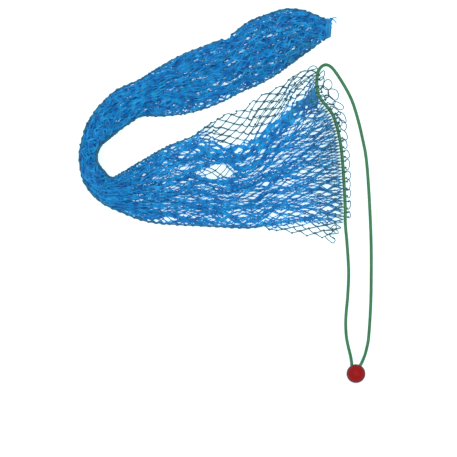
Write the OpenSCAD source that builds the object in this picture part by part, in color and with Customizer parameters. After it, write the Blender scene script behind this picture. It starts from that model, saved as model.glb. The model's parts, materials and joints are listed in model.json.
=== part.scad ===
// Drawstring cast net, gathered and laid flat in a sideways V, with its drawcord led out to a stop ball.
// The closed end and the mouth both point to +X, the closed arm lies on the +Y side, +Z is up.
// It lies on Z = 0, with the origin under the middle of the netting and the ball together.

/* [Netting] */
// Height of the side walls of the gathered netting, and of its thin flaps
flap_h = 5; // [4:0.5:6]
// Height of the gathered netting at the bend, its thickest place
bundle_h = 30; // [26:1:36]
// Diameter of the netting's twine
twine_d = 1.5; // [1.4:0.1:2]
// Height of the netting's edge along the mouth
mouth_h = 11; // [10.5:0.5:13]
// Number of edge loops strung on the drawcord
loop_count = 15; // [10:1:20]
// Width of an edge loop along the drawcord
loop_w = 12; // [6:0.5:13]

/* [Closed end] */
// Thickness of the twine wound round the closed end
lashing_t = 2; // [1.5:0.1:2.2]
// Length of the winding along the netting
lashing_w = 8; // [4:1:10]
// Diameter of the winding's knot
lashing_knot_d = 7; // [5:0.5:8]
// Length of the knot's two loose ends
lashing_tail_l = 9; // [5:1:12]

/* [Drawcord] */
// Diameter of the braided cord
cord_d = 5; // [4:0.5:5]
// Number of sides of the cord's tube
cord_sides = 10; // [8:2:12]

/* [Stop ball] */
// Diameter of the ball
ball_d = 30; // [30:1:33]
// Distance from one bore to the other
bore_gap = 13; // [12:0.5:14]
// Depth of the slot that takes the end knot
slot_depth = 9.5; // [8.5:0.5:10]

/* [Hidden] */
$fn = 64;

clear = 0.3;
net_blue = "#1f78c0";
twine_blue = "#3f6f9a";
cord_green = "#2f8048";
ball_red = "#9c1f20";

// ---- Netting ----
// A cross-section is [left edge, right edge, height of the crown, height of the underside]

lashing_lift = lashing_t + clear + 0.2;
closed_arm = [
    [[174, 279], [174, 253], 13, lashing_lift],
    [[158, 286], [160, 246], 18, lashing_lift],
    [[132, 296], [140, 231], 23, 0],
    [[102, 299], [114, 212], 26, 0],
    [[68, 289], [88, 193], 27, 0],
    [[38, 276], [62, 178], 27, 0],
    [[10, 255], [34, 166], 27, 0],
    [[-26, 241], [-4, 147], 26, 0],
    [[-64, 226], [-48, 132], 26, 0],
    [[-100, 206], [-92, 126], 26, 0],
    [[-134, 185], [-128, 125], 27, 0],
    [[-168, 170], [-154, 110], 28, 0],
    [[-194, 146], [-178, 92], 29, 0]
];
bend = [
    [[-194, 146], [-178, 92], 29, 0],
    [[-214, 118], [-192, 80], 29, 0],
    [[-225, 86], [-198, 68], bundle_h, 0],
    [[-228, 58], [-199, 58], bundle_h, 0],
    [[-224, 28], [-196, 50], bundle_h, 0],
    [[-210, 4], [-188, 40], 28, 0],
    [[-188, -15], [-176, 30], 26, 0]
];
flared_arm = [
    [[-188, -15], [-176, 30], 26, 0],
    [[-158, -29], [-154, 41], 24, 0],
    [[-124, -42], [-122, 60], 22, 0],
    [[-86, -47], [-88, 78], 20, 0],
    [[-48, -49], [-44, 84], 19, 0],
    [[-4, -51], [0, 77], 18, 0],
    [[42, -53], [44, 86], 17, 0],
    [[90, -55], [88, 119], 16, 0],
    [[140, -54], [126, 152], 15, 0],
    [[181, -42], [142.5, 182], 14, 0]
];
flared_end = flared_arm[len(flared_arm) - 1];

// Free rims of the two thin flaps; their other sides lie against the flared arm's side walls
upper_flap_rim = [
    [-67, 87], [-48, 94], [-29, 108], [-10, 122], [10, 132], [29, 137], [40, 139], [48, 151], [62, 160],
    [77, 168], [96, 176], [115, 193], [134, 208], [147, 209]
];
upper_flap_corner = [147, 196];
upper_flap_from = 3;
lower_flap_rim = [[183, -60], [179, -70], [158, -66], [136, -65], [112, -60]];
lower_flap_from = 7;

// Crown of a cross-section: [share of the width, share of the rise above the side walls]
crown = [[0, 0], [0.06, 0.5], [0.18, 0.82], [0.36, 1], [0.64, 1], [0.82, 0.82], [0.94, 0.5], [1, 0]];

// Points of one cross-section, grown outwards by a thickness
function section(s, grow) =
    let (
        across = (s[1] - s[0]) / norm(s[1] - s[0]),
        left = s[0] - across * grow,
        right = s[1] + across * grow,
        wall = s[3] + flap_h,
        rise = s[2] + grow - flap_h
    )
    concat(
        [[left.x, left.y, s[3] - grow]],
        [for (c = crown) let (p = left + (right - left) * c[0]) [p.x, p.y, wall + rise * c[1]]],
        [[right.x, right.y, s[3] - grow]]
    );

// The cross-section between two others
function between(a, b, t) = [for (k = [0:3]) a[k] + (b[k] - a[k]) * t];

// Closed skin over a row of rings, which all have the same number of points
module skin(rings) {
    n = len(rings[0]);
    rows = len(rings) - 1;
    sides = [
        for (i = [0:rows - 1]) for (j = [0:n - 1])
            let (a = i * n + j, b = i * n + (j + 1) % n)
            each [[a, b, b + n], [a, b + n, a + n]]
    ];
    first_end = [for (j = [n - 1:-1:0]) j];
    last_end = [for (j = [0:n - 1]) rows * n + j];
    polyhedron([for (r = rings) each r], concat([first_end, last_end], sides));
}

module gathered(stations, grow = 0) {
    skin([for (s = stations) section(s, grow)]);
}

// ---- Drawcord ----
// One route, from the ball up one side, through the loops of the mouth and back down the other side

cord_r = cord_d / 2;
twine_r = twine_d / 2;
leg_rise = cord_r + twine_r + clear + 0.2;
floor_z = cord_r;
strung_z = leg_rise + twine_r;
ball_r = ball_d / 2;
ball_at = [213.5, -284, ball_r];
near_x = ball_at.x - bore_gap / 2;
far_x = ball_at.x + bore_gap / 2;

near_points = [
    [near_x, -284, ball_r], [near_x, -278, ball_r], [near_x, -272, ball_r], [206.3, -263, 12],
    [204.3, -252, 6.5], [201.5, -240, 3], [198.5, -222, floor_z], [198, -196, floor_z], [201, -160, floor_z],
    [202.5, -122, floor_z], [200, -78, floor_z], [198, -56, 3.6]
];
mouth_points = [
    [197, -40, strung_z], [197, -18, strung_z], [195, 20, strung_z], [192.5, 57, strung_z],
    [189, 86, strung_z], [183, 113, strung_z], [176, 131, strung_z], [167, 143, strung_z],
    [158, 154, strung_z], [152.5, 167, strung_z], [151.5, 180, strung_z], [153, 195, strung_z]
];
far_points = [
    [158, 205, 3.6], [166.5, 209, floor_z], [176, 204, floor_z], [188.5, 187, floor_z],
    [204, 160, floor_z], [213.5, 135, floor_z], [224, 94, floor_z], [232, 46, floor_z],
    [238, -60, floor_z], [238.5, -143, floor_z], [237, -190, floor_z], [234.3, -228, 2.8],
    [231.5, -243, 4.5], [228, -255, 9], [223.3, -265.5, 13.5], [far_x, -272, ball_r], [far_x, -278, ball_r],
    [far_x, -284, ball_r]
];
route = concat(near_points, mouth_points, far_points);
mouth_start = len(near_points);
mouth_end = mouth_start + len(mouth_points) - 1;

// Catmull-Rom curve through a list of points, running straight on at its two ends
function point_of(p, i) =
    i < 0 ? 2 * p[0] - p[1]
    : i >= len(p) ? 2 * p[len(p) - 1] - p[len(p) - 2]
    : p[i];
function curve(p, i, t) =
    let (a = point_of(p, i - 1), b = point_of(p, i), c = point_of(p, i + 1), d = point_of(p, i + 2))
    0.5 * (2 * b + (c - a) * t + (2 * a - 5 * b + 4 * c - d) * t ^ 2 + (3 * b - a - 3 * c + d) * t ^ 3);
function curve_way(p, i, t) =
    let (step = 0.01, v = curve(p, i, t + step) - curve(p, i, t - step)) v / norm(v);

// Ring of a round tube, square to its way
function ring(at, way, r, sides) =
    let (flat = cross(way, [0, 0, 1]), u = flat / norm(flat), v = cross(u, way))
    [for (k = [0:sides - 1]) at + r * (cos(k * 360 / sides) * u + sin(k * 360 / sides) * v)];
function route_ring(i, t) = ring(curve(route, i, t), curve_way(route, i, t), cord_r, cord_sides);

// Tube of the cord from one point of the route to another, with two rings to each stretch
module cord(from, to) {
    rings = [for (i = [from:to - 1]) for (t = [0, 0.5]) route_ring(i, t)];
    skin(concat(rings, [route_ring(to, 0)]));
}

// ---- Edge of the mouth ----
// A loop leaves the netting's edge over the cord, turns at its reach and comes back under the cord

loop_reach = [
    [205, -40], [205.5, -18], [205.5, 20], [204, 57], [200, 86], [198.5, 110], [197, 128], [193, 146],
    [186, 163], [177, 178], [168, 190], [161, 199]
];
edge_gap = cord_r + clear + 0.2;
loop_root = edge_gap + 1.2;
loop_turn_steps = 8;
loop_sides = 6;

mouth_stretches = len(mouth_points) - 1;
// Length of the mouth up to each of its points
mouth_way = [
    for (i = 0, way = 0; i <= mouth_stretches; way = way + stretch_length(i), i = i + 1) way
];

function stretch_length(i) = i < mouth_stretches ? norm(mouth_points[i + 1] - mouth_points[i]) : 0;
// Where a length along the mouth falls: the number of its stretch and the share of it
function mouth_place(way) =
    let (i = max([for (k = [0:mouth_stretches - 1]) if (mouth_way[k] <= way) k]))
    i + (way - mouth_way[i]) / stretch_length(i);

mouth_rim = [
    for (i = [0:mouth_stretches]) for (t = i < mouth_stretches ? [0, 0.5] : [0])
        let (at = curve(mouth_points, i, t), way = curve_way(mouth_points, i, t))
        [at.x - edge_gap * way.y, at.y + edge_gap * way.x]
];

function loop_points(at, out, reach) =
    let (side = [-out.y, out.x, 0] * loop_w / 2, back = out * loop_root, up = [0, 0, leg_rise])
    concat(
        [at - back + side + up],
        [
            for (k = [0:loop_turn_steps]) let (a = 90 - 180 * k / loop_turn_steps)
            at + out * reach * cos(a) + (side + up) * sin(a)
        ],
        [at - back - side - up]
    );

module edge_loop(along) {
    i = floor(along);
    t = along - i;
    at = curve(mouth_points, i, t);
    tip = curve(loop_reach, i, t);
    reach = norm(tip - [at.x, at.y]) - twine_r;
    out = [tip.x - at.x, tip.y - at.y, 0] / norm(tip - [at.x, at.y]);
    points = loop_points(at, out, reach);
    skin([for (k = [0:len(points) - 1]) ring(points[k], curve_way(points, k, 0), twine_r, loop_sides)]);
}

// ---- Sub-parts ----

module net_closed_arm() {
    color(net_blue) gathered(closed_arm);
}

module net_bend() {
    color(net_blue) gathered(bend);
}

module net_flared_arm() {
    color(net_blue) gathered(flared_arm);
}

module net_upper_flap() {
    inner = [for (i = [len(flared_arm) - 1:-1:upper_flap_from]) flared_arm[i][1]];
    color(net_blue) linear_extrude(flap_h) polygon(concat(upper_flap_rim, [upper_flap_corner], inner));
}

module net_lower_flap() {
    inner = [for (i = [lower_flap_from:len(flared_arm) - 1]) flared_arm[i][0]];
    color(net_blue) linear_extrude(flap_h) polygon(concat(inner, lower_flap_rim));
}

module mouth_edge() {
    color(net_blue) linear_extrude(mouth_h)
        polygon(concat([flared_end[0]], mouth_rim, [upper_flap_corner, flared_end[1]]));
}

// Each loop's two legs are rooted in the mouth's edge
module mouth_edge_loops() {
    color(twine_blue)
        for (k = [0:loop_count - 1])
            edge_loop(mouth_place(mouth_way[mouth_stretches] * (k + 0.5) / loop_count));
}

module closed_end_lashing() {
    tip_l = norm(closed_arm[1][0] - closed_arm[0][0]);
    from = 0.15;
    to = from + lashing_w / tip_l;
    past = 0.1;
    knot_at = between(closed_arm[0], closed_arm[1], from)[0] + [1, lashing_knot_d / 2 + clear];
    color(twine_blue) {
        difference() {
            gathered([for (t = [from, to]) between(closed_arm[0], closed_arm[1], t)], clear + lashing_t);
            gathered([for (t = [from - past, to + past]) between(closed_arm[0], closed_arm[1], t)], clear);
        }
        translate([knot_at.x, knot_at.y, closed_arm[0][2] / 2 + 2]) {
            sphere(d = lashing_knot_d);
            for (turn = [-35, 15])
                rotate([0, 0, turn]) rotate([0, 90, 0]) cylinder(h = lashing_tail_l, d = twine_d);
        }
    }
}

module drawcord_near_strand() {
    color(cord_green) cord(0, mouth_start);
}

module drawcord_mouth_run() {
    color(cord_green) cord(mouth_start, mouth_end);
}

module drawcord_far_strand() {
    color(cord_green) cord(mouth_end, len(route) - 1);
}

// Length of each tail, from the middle of the ball to the end knot
tail_l = 7;
module drawcord_tails() {
    color(cord_green)
        for (x = [near_x, far_x])
            skin([
                for (back = [tail_l, 0])
                    ring([x, ball_at.y - back, ball_r], [0, 1, 0], cord_r, cord_sides)
            ]);
}

// The end knot lies in the ball's slot and reaches across both bores
slot_floor = ball_at.y - ball_r + slot_depth;
knot_half = [bore_gap / 2 + cord_r + 0.2, 3.6, cord_r + 0.4];
module drawcord_end_knot() {
    color(cord_green)
        translate([ball_at.x, slot_floor - clear - knot_half.y, ball_r])
        scale(knot_half)
        sphere(1, $fn = 32);
}

// Each bore flares towards the mouth of the net
bore_r = cord_r + 0.1;
flare_r = bore_r + 1.8;
flare_from = 7;
flare_l = 8;
slot_end_r = knot_half.z + clear;
slot_end_x = knot_half.x + clear - slot_end_r;
module knot_slot() {
    linear_extrude(slot_depth + 1) {
        square([2 * slot_end_x, 2 * slot_end_r], center = true);
        for (x = [-slot_end_x, slot_end_x]) translate([x, 0]) circle(slot_end_r, $fn = 48);
    }
}

module stop_ball() {
    color(ball_red) translate(ball_at) difference() {
        rotate([90, 0, 0]) rotate_extrude($fn = 96) intersection() {
            circle(ball_r);
            translate([0, -ball_r]) square([ball_r, ball_d]);
        }
        for (x = [-bore_gap / 2, bore_gap / 2]) translate([x, 0, 0]) rotate([-90, 0, 0]) {
            cylinder(h = ball_d + 2, r = bore_r, center = true);
            translate([0, 0, flare_from]) cylinder(h = flare_l, r1 = bore_r, r2 = flare_r);
        }
        translate([0, slot_depth - ball_r, 0]) rotate([90, 0, 0]) knot_slot();
    }
}

net_closed_arm();
net_bend();
net_flared_arm();
net_upper_flap();
net_lower_flap();
mouth_edge();
mouth_edge_loops();
closed_end_lashing();
drawcord_near_strand();
drawcord_mouth_run();
drawcord_far_strand();
drawcord_tails();
drawcord_end_knot();
stop_ball();
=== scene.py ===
"""Drawstring cast net: the look of the gathered netting, its drawcord, loops and stop ball."""

import itertools
import json
import math

import bpy
import numpy as np
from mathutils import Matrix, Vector


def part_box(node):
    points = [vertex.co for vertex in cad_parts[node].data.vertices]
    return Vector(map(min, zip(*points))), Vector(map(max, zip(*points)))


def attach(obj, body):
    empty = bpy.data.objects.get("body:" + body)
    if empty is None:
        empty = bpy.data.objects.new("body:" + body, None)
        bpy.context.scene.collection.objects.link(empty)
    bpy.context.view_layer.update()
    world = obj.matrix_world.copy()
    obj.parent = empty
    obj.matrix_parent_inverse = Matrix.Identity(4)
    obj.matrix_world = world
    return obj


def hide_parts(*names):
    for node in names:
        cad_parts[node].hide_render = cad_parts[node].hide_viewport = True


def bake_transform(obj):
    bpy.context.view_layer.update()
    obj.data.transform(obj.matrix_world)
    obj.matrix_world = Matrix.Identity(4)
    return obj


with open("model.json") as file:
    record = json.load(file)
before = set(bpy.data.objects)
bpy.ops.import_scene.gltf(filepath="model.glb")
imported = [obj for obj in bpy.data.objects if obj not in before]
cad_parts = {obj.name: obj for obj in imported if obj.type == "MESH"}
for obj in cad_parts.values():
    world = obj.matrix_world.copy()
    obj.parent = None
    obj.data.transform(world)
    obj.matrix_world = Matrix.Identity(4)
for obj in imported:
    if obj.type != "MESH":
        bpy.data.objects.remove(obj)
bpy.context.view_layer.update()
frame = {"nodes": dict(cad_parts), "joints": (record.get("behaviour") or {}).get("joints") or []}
nodes = frame["nodes"]
rng = np.random.default_rng(7)
MM = 0.001

# ---- Sizes, in metres ----

TWINE_R = 0.7 * MM
BAR = 14.0 * MM
CORD_D = 5.0 * MM
CORD_R = CORD_D / 2

# ---- Camera: straight above the net, from far off ----

VIEW_CENTRE = Vector((0.0104, -0.0528, 0.0))
VIEW_WIDTH = 0.7312
CAMERA_H = 3.4
SENSOR = 36.0


def add_camera():
    data = bpy.data.cameras.new("camera")
    data.sensor_width = SENSOR
    data.lens = SENSOR * CAMERA_H / VIEW_WIDTH
    camera = bpy.data.objects.new("camera", data)
    camera.location = VIEW_CENTRE + Vector((0, 0, CAMERA_H))
    bpy.context.scene.collection.objects.link(camera)
    bpy.context.scene.camera = camera


add_camera()

# ---- Curves and tubes ----


def spline(a, b, c, d, t):
    """The curve from b to c, at share t, between neighbours a and d."""
    square = 2 * a - 5 * b + 4 * c - d
    cube = 3 * b - a - 3 * c + d
    return 0.5 * (2 * b + (c - a) * t + square * t**2 + cube * t**3)


def catmull(points, steps):
    """A smooth line through points, with this many parts to each stretch."""
    p = np.asarray(points, float)
    p = np.vstack([2 * p[0] - p[1], p, 2 * p[-1] - p[-2]])
    t = np.arange(steps)[:, None] / steps
    out = []
    for a, b, c, d in zip(p, p[1:], p[2:], p[3:]):
        out.append(spline(a, b, c, d, t))
    return np.vstack(out + [p[-2:-1]])


def lengths(line):
    """How far along the line each of its points lies."""
    return np.r_[0, np.cumsum(np.linalg.norm(np.diff(line, axis=0), axis=1))]


def interpolated(at, way, rows):
    """The row at each of these places, between rows that lie at way."""
    return np.stack([np.interp(at, way, rows[:, k]) for k in range(rows.shape[1])], axis=-1)


def even(line, spacing):
    """The same line with its points evenly spaced."""
    way = lengths(line)
    return interpolated(np.linspace(0, way[-1], max(2, round(way[-1] / spacing) + 1)), way, line)


def trefoil(angle, depth):
    """The line of an overhand knot whose ends are joined, about 3 across and this deep."""
    x = np.sin(angle) + 2 * np.sin(2 * angle)
    y = np.cos(angle) - 2 * np.cos(2 * angle)
    return np.stack([x, y, -depth * np.sin(3 * angle)], axis=-1)


def above(line, floor):
    """The line with no point lower than floor."""
    return np.column_stack([line[:, :2], np.maximum(line[:, 2], floor)])


def unit(v):
    return v / np.maximum(np.linalg.norm(v, axis=-1, keepdims=True), 1e-12)


def frames(paths):
    """Two unit vectors across each point of each path, carried along it without twist.

    paths is (count, points, 3).
    """
    way = unit(np.gradient(paths, axis=1))
    across = np.empty_like(way)
    start = np.cross(way[:, 0], [0.0, 0.0, 1.0])
    flat = np.linalg.norm(start, axis=1) < 1e-3
    start[flat] = [1.0, 0.0, 0.0]
    across[:, 0] = unit(start)
    for i in range(1, paths.shape[1]):
        last = across[:, i - 1]
        across[:, i] = unit(last - way[:, i] * np.sum(last * way[:, i], axis=1, keepdims=True))
    return across, np.cross(way, across)


def build_mesh(name, verts, faces, uvs):
    """A mesh from vertices, arrays of faces with equal numbers of corners, and named UVs for each array."""
    mesh = bpy.data.meshes.new(name)
    mesh.vertices.add(len(verts))
    mesh.vertices.foreach_set("co", verts.astype(np.float32).ravel())
    corners = np.concatenate([f.ravel() for f in faces])
    totals = np.concatenate([np.full(len(f), f.shape[1]) for f in faces])
    mesh.loops.add(len(corners))
    mesh.loops.foreach_set("vertex_index", corners.astype(np.int32))
    mesh.polygons.add(len(totals))
    mesh.polygons.foreach_set("loop_start", np.r_[0, np.cumsum(totals)[:-1]].astype(np.int32))
    for layer, parts in uvs.items():
        corners_uv = np.concatenate([p.reshape(-1, 2) for p in parts])
        mesh.uv_layers.new(name=layer).data.foreach_set("uv", corners_uv.astype(np.float32).ravel())
    mesh.update(calc_edges=True)
    mesh.validate()
    mesh.shade_smooth()
    return mesh


def tube_arrays(paths, radius, sides, closed=False, cells=(0, 1)):
    """Vertices, faces and UVs of round tubes along paths.

    cells is the first cell and the number of cells in the bake's layout.
    """
    count, points, _ = paths.shape
    if closed:
        looped = np.concatenate([paths[:, -2:], paths, paths[:, :2]], axis=1)
        a, b = (f[:, 2:-2] for f in frames(looped))
    else:
        a, b = frames(paths)
    angle = np.arange(sides) * 2 * np.pi / sides
    r = np.broadcast_to(np.asarray(radius, float), (count, points))[:, :, None, None]
    ring = a[:, :, None] * np.cos(angle)[:, None] + b[:, :, None] * np.sin(angle)[:, None]
    verts = (paths[:, :, None] + ring * r).reshape(-1, 3)
    rows = points if closed else points - 1
    i, j = np.meshgrid(np.arange(rows), np.arange(sides), indexing="ij")
    after, turn = (i + 1) % points, (j + 1) % sides
    quad = [i * sides + j, i * sides + turn, after * sides + turn, after * sides + j]
    quad = np.stack(quad, axis=-1).reshape(-1, 4)
    base = (np.arange(count) * points * sides)[:, None, None]
    quads = (quad[None] + base).reshape(-1, 4)
    steps = np.linalg.norm(np.diff(paths, axis=1), axis=2)
    length = np.concatenate([np.zeros((count, 1)), np.cumsum(steps, axis=1)], axis=1)
    if closed:
        length = np.concatenate([length, length[:, -1:] + length[:, 1:2]], axis=1)
    ends = np.stack([i, i, i + 1, i + 1], axis=-1).reshape(-1, 4)
    round_share = np.stack([j, j + 1, j + 1, j], axis=-1).reshape(-1, 4) / sides
    twist = np.stack([np.broadcast_to(round_share, (count,) + round_share.shape), length[:, ends]], axis=-1)
    grid = math.ceil(math.sqrt(cells[1]))
    cell = cells[0] + np.arange(count)
    corner = np.stack([cell % grid, cell // grid], axis=1)[:, None, None]
    inside = np.stack([round_share, ends / rows], axis=-1) * 0.8 + 0.1
    bake = (corner + inside[None]) / grid
    faces, twists, bakes = [quads], [twist], [bake]
    if not closed:
        for row, order in ((0, np.arange(sides)[::-1]), (points - 1, np.arange(sides))):
            faces.append((row * sides + order)[None] + base[:, :, 0])
            mid = np.stack([np.full(sides, 0.5), np.full(sides, row / (points - 1) * 0.8 + 0.1)], axis=-1)
            twists.append(np.zeros((count, sides, 2)))
            bakes.append((corner[:, 0] + mid[None]) / grid)
    return verts, faces, {"twine": twists, "OFBake": bakes}


def joined(parts):
    """Several tube_arrays results as one."""
    verts, faces, shift = [], [], 0
    uvs = {layer: [] for layer in parts[0][2]}
    for part_verts, part_faces, part_uvs in parts:
        verts.append(part_verts)
        faces += [rows + shift for rows in part_faces]
        for layer in uvs:
            uvs[layer] += part_uvs[layer]
        shift += len(part_verts)
    return np.concatenate(verts), faces, uvs


def add_values(mesh, name, values):
    """A number at each vertex, for the material to read."""
    layer = mesh.attributes.new(name, "FLOAT", "POINT")
    layer.data.foreach_set("value", np.asarray(values, np.float32).ravel())


def add_piece(name, mesh, material, body="root"):
    """An object in its slot, riding a body unless body is None."""
    piece = bpy.data.objects.new(name, mesh)
    bpy.context.scene.collection.objects.link(piece)
    mesh.materials.append(material)
    if body:
        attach(piece, body)
    return piece


# ---- Materials ----


def material(name):
    mat = bpy.data.materials.new(name)
    mat.use_nodes = True
    return mat, mat.node_tree, mat.node_tree.nodes["Principled BSDF"]


def feed(tree, socket, value):
    """Give a socket a value, or the output of another node."""
    if isinstance(value, bpy.types.NodeSocket):
        tree.links.new(value, socket)
    else:
        socket.default_value = value


def calc(tree, operation, *values):
    """The result of a sum on values or sockets."""
    node = tree.nodes.new("ShaderNodeMath")
    node.operation = operation
    for socket, value in zip(node.inputs, values):
        feed(tree, socket, value)
    return node.outputs[0]


def ranged(tree, value, span, new_span):
    """A value taken from one span of numbers over to another."""
    node = tree.nodes.new("ShaderNodeMapRange")
    for name, number in zip(("From Min", "From Max", "To Min", "To Max"), (*span, *new_span)):
        node.inputs[name].default_value = number
    tree.links.new(value, node.inputs["Value"])
    return node.outputs["Result"]


def ramp(tree, value, stops):
    """A colour picked by a value from (place, colour) stops."""
    node = tree.nodes.new("ShaderNodeValToRGB")
    for k, (place, colour) in enumerate(stops):
        stop = node.color_ramp.elements[k] if k < 2 else node.color_ramp.elements.new(place)
        stop.position = place
        stop.color = (*colour, 1)
    tree.links.new(value, node.inputs["Fac"])
    return node.outputs["Color"]


def noise(tree, scale, detail):
    """Noise fixed to the object, with this many features to the metre."""
    node = tree.nodes.new("ShaderNodeTexNoise")
    node.inputs["Scale"].default_value = scale
    node.inputs["Detail"].default_value = detail
    coords = tree.nodes.new("ShaderNodeTexCoord")
    tree.links.new(coords.outputs["Object"], node.inputs["Vector"])
    return node.outputs["Fac"]


def stored(tree, name):
    """A number that the mesh holds at each vertex."""
    node = tree.nodes.new("ShaderNodeAttribute")
    node.attribute_name = name
    return node.outputs["Fac"]


def parts_of(tree, vector):
    """The x, y and z of a vector."""
    node = tree.nodes.new("ShaderNodeSeparateXYZ")
    tree.links.new(vector, node.inputs[0])
    return node.outputs


def mixed(tree, mode, share, first, second):
    """Two colours mixed; each of the three may be a value or a socket."""
    mix = tree.nodes.new("ShaderNodeMix")
    mix.data_type = "RGBA"
    mix.blend_type = mode
    for k, value in ((0, share), (6, first), (7, second)):
        feed(tree, mix.inputs[k], value)
    return mix.outputs[2]


def add_bump(tree, shader, height, strength, distance):
    bump = tree.nodes.new("ShaderNodeBump")
    bump.inputs["Strength"].default_value = strength
    bump.inputs["Distance"].default_value = distance
    tree.links.new(height, bump.inputs["Height"])
    tree.links.new(bump.outputs["Normal"], shader.inputs["Normal"])


WHITE = (1.0, 1.0, 1.0)
BLACK = (0.0, 0.0, 0.0)
PLIES = 3.0
PLY_CROWNS_PER_M = 230.0


def twine_material(name, dark, mid, light, painted_shade):
    """Twisted nylon twine: plies that wind round it with painted shade in their grooves, patchy dye, and a
    duller, darker painted shade where it lies bare.
    """
    mat, tree, shader = material(name)
    uv = tree.nodes.new("ShaderNodeUVMap")
    uv.uv_map = "twine"
    round_share, along, _ = parts_of(tree, uv.outputs["UV"])
    along = calc(tree, "MULTIPLY", along, PLY_CROWNS_PER_M)
    winding = calc(tree, "MULTIPLY_ADD", round_share, PLIES, along)
    wave = calc(tree, "SINE", calc(tree, "MULTIPLY", winding, 2 * math.pi))
    ply = ranged(tree, wave, (-1, 1), (0, 1))
    patches = noise(tree, 90.0, 3.0)
    colour = ramp(tree, patches, [(0.3, dark), (0.7, light), (0.5, mid)])
    # Painted shade in the grooves between the plies
    groove_shade = ramp(tree, ply, [(0.0, (0.35, 0.4, 0.5)), (0.55, WHITE)])
    shaded = mixed(tree, "MULTIPLY", 0.7, colour, groove_shade)
    # Painted shade: where a strand lies alone, its colour is mixed towards a dull dark grey-blue
    final = mixed(tree, "MIX", stored(tree, "painted_shade"), shaded, (*painted_shade, 1))
    tree.links.new(final, shader.inputs["Base Color"])
    fibre = noise(tree, 2600.0, 2.0)
    height = calc(tree, "MULTIPLY_ADD", fibre, 0.25, ply)
    add_bump(tree, shader, height, 0.7, 0.25 * MM)
    shader.inputs["Specular IOR Level"].default_value = 0.3
    tree.links.new(ranged(tree, patches, (0, 1), (0.5, 0.7)), shader.inputs["Roughness"])
    return mat


def cord_material():
    """Braided polypropylene cord: plaits with painted shade on their flanks and in the dark gaps between
    them, and fine filaments.
    """
    mat, tree, shader = material("braided_cord")
    gap, crown, flank_shade = (0.004, 0.03, 0.01), (0.03, 0.22, 0.06), (0.015, 0.13, 0.035)
    # Painted shade: the flanks of the plaits and the gaps between them are darker than the crowns
    plait_shaded = ramp(tree, stored(tree, "height"), [(0.05, gap), (0.9, crown), (0.45, flank_shade)])
    wear = ramp(tree, noise(tree, 70.0, 3.0), [(0.35, (0.8, 0.85, 0.8)), (0.7, (1.1, 1.05, 1.0))])
    tree.links.new(mixed(tree, "MULTIPLY", 1.0, plait_shaded, wear), shader.inputs["Base Color"])
    add_bump(tree, shader, noise(tree, 3000.0, 2.0), 0.35, 0.15 * MM)
    shader.inputs["Roughness"].default_value = 0.5
    return mat


def ball_material():
    """Smooth red plastic with fine scuffs, and painted shade that darkens it towards the bottom."""
    mat, tree, shader = material("ball_red")
    colour = ramp(tree, noise(tree, 55.0, 4.0), [(0.3, (0.24, 0.003, 0.004)), (0.75, (0.31, 0.005, 0.005))])
    place = tree.nodes.new("ShaderNodeTexCoord").outputs["Object"]
    height = ranged(tree, parts_of(tree, place)["Z"], (15 * MM, 27 * MM), (0, 1))
    # Painted shade: the ball darkens towards its underside
    underside_shade = ramp(tree, height, [(0.0, (0.4, 0.35, 0.4)), (1.0, WHITE)])
    shaded_red = mixed(tree, "MULTIPLY", 1.0, colour, underside_shade)
    scuffs = noise(tree, 420.0, 6.0)
    marks = ramp(tree, scuffs, [(0.62, BLACK), (0.78, WHITE)])
    worn = mixed(tree, "MIX", marks, shaded_red, (0.33, 0.015, 0.014, 1))
    tree.links.new(worn, shader.inputs["Base Color"])
    shader.inputs["Specular IOR Level"].default_value = 0.12
    tree.links.new(ranged(tree, scuffs, (0, 1), (0.45, 0.65)), shader.inputs["Roughness"])
    add_bump(tree, shader, scuffs, 0.15, 0.1 * MM)
    return mat


# The last colour is the dull grey-blue of painted shade on strands that lie alone
netting_mat = twine_material(
    "netting_twine", (0.002, 0.15, 0.53), (0.004, 0.31, 0.76), (0.015, 0.48, 0.94), (0.035, 0.12, 0.16)
)
# The mouth loops' twine: the netting's twine darkened to a dull grey-blue, painted shade for strands that
# lie alone
edge_shaded_mat = twine_material(
    "edge_twine", (0.02, 0.08, 0.13), (0.035, 0.12, 0.18), (0.06, 0.17, 0.24), (0.03, 0.1, 0.14)
)
cord_mat = cord_material()

# ---- Drawcord: the same route as the design's, from the ball round the mouth and back ----

BALL_AT = (213.5, -284, 15)
NEAR_X, FAR_X = 207, 220
FLOOR_Z, STRUNG_Z = 2.5, 4.5
NEAR_POINTS = [
    (NEAR_X, -284, 15), (NEAR_X, -278, 15), (NEAR_X, -272, 15), (206.3, -263, 12),
    (204.3, -252, 6.5), (201.5, -240, 3), (198.5, -222, FLOOR_Z), (198, -196, FLOOR_Z),
    (201, -160, FLOOR_Z),
    (202.5, -122, FLOOR_Z), (200, -78, FLOOR_Z), (198, -56, 3.6),
]
MOUTH_POINTS = [
    (197, -40, STRUNG_Z), (197, -18, STRUNG_Z), (195, 20, STRUNG_Z), (192.5, 57, STRUNG_Z),
    (189, 86, STRUNG_Z), (183, 113, STRUNG_Z), (176, 131, STRUNG_Z), (167, 143, STRUNG_Z),
    (158, 154, STRUNG_Z), (152.5, 167, STRUNG_Z), (151.5, 180, STRUNG_Z), (153, 195, STRUNG_Z),
]
FAR_POINTS = [
    (158, 205, 3.6), (166.5, 209, FLOOR_Z), (176, 204, FLOOR_Z), (188.5, 187, FLOOR_Z),
    (204, 160, FLOOR_Z), (213.5, 135, FLOOR_Z), (224, 94, FLOOR_Z), (232, 46, FLOOR_Z),
    (238, -60, FLOOR_Z), (238.5, -143, FLOOR_Z), (237, -190, FLOOR_Z), (234.3, -228, 2.8),
    (231.5, -243, 4.5), (228, -255, 9), (223.3, -265.5, 13.5), (FAR_X, -272, 15), (FAR_X, -278, 15),
    (FAR_X, -284, 15),
]
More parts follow.
